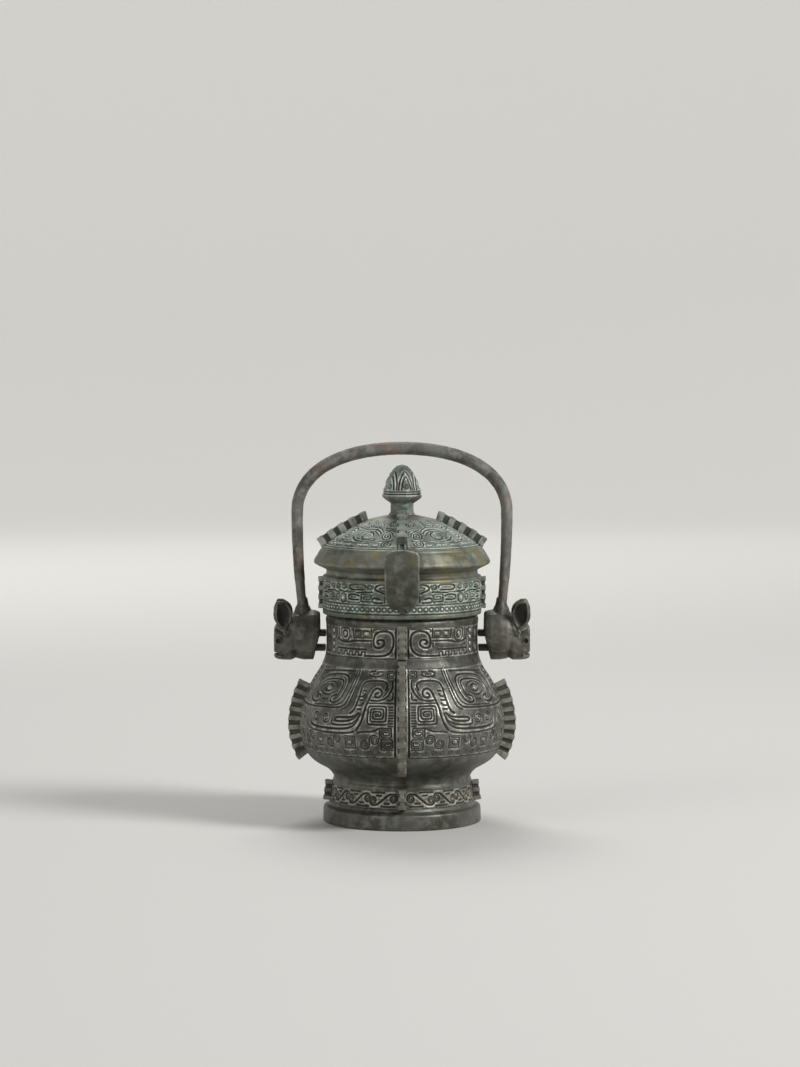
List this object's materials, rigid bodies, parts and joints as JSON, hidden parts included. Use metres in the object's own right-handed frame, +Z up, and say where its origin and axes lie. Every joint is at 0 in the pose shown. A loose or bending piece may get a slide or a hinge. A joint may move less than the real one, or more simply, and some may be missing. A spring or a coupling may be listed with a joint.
{
  "type": "lidded wine vessel",
  "caption": "Oval bronze wine vessel on a ring foot, with notched flanges, a fitted lid with a bud knob and horn plates, and a swinging arched bail with animal heads.",
  "frame": {"origin": "middle of the foot ring's underside, on the surface the vessel stands on", "axes": "+Z up, -Y towards the front horn plate, +X towards the right animal head"},
  "size_m": [0.1894, 0.2, 0.2805],
  "materials": {
    "wall_bronze": "dark patinated cast bronze",
    "flange_bronze": "dark bronze, worn edges",
    "lid_bronze": "bronze with pale green patina",
    "knob_bronze": "bronze with brown and green patina",
    "lid_flange_bronze": "bronze, worn edges",
    "horn_bronze": "plain dark bronze",
    "bail_bronze": "granular corroded bronze",
    "head_bronze": "bronze with malachite patches"
  },
  "bodies": {
    "vessel": {"vessel_body": "wall_bronze", "belly_flange_front": "flange_bronze", "belly_flange_rear": "flange_bronze", "belly_flange_left": "flange_bronze", "belly_flange_right": "flange_bronze", "neck_flange_front": "flange_bronze", "neck_flange_rear": "flange_bronze", "foot_flange_front": "flange_bronze", "foot_flange_rear": "flange_bronze", "foot_flange_left": "flange_bronze", "foot_flange_right": "flange_bronze", "lug_left": "flange_bronze", "lug_right": "flange_bronze"},
    "lid": {"lid_shell": "lid_bronze", "lid_knob": "knob_bronze", "dome_flange_front": "lid_flange_bronze", "dome_flange_rear": "lid_flange_bronze", "dome_flange_left": "lid_flange_bronze", "dome_flange_right": "lid_flange_bronze", "collar_flange_left": "lid_flange_bronze", "collar_flange_right": "lid_flange_bronze", "lid_horn_front": "horn_bronze", "lid_horn_rear": "horn_bronze"},
    "bail": {"bail_handle": "bail_bronze", "bail_head_left": "head_bronze", "bail_head_right": "head_bronze"}
  },
  "joints": [
    {"name": "bail_swing", "type": "hinge", "parent": "vessel", "child": "bail", "pos_m": [0, 0, 0.139], "axis": [1, 0, 0], "range_deg": [-120, 120]},
    {"name": "lid_lift", "type": "slide", "parent": "vessel", "child": "lid", "axis": [0, 0, 1], "range_m": [0, 0.0065]}
  ]
}
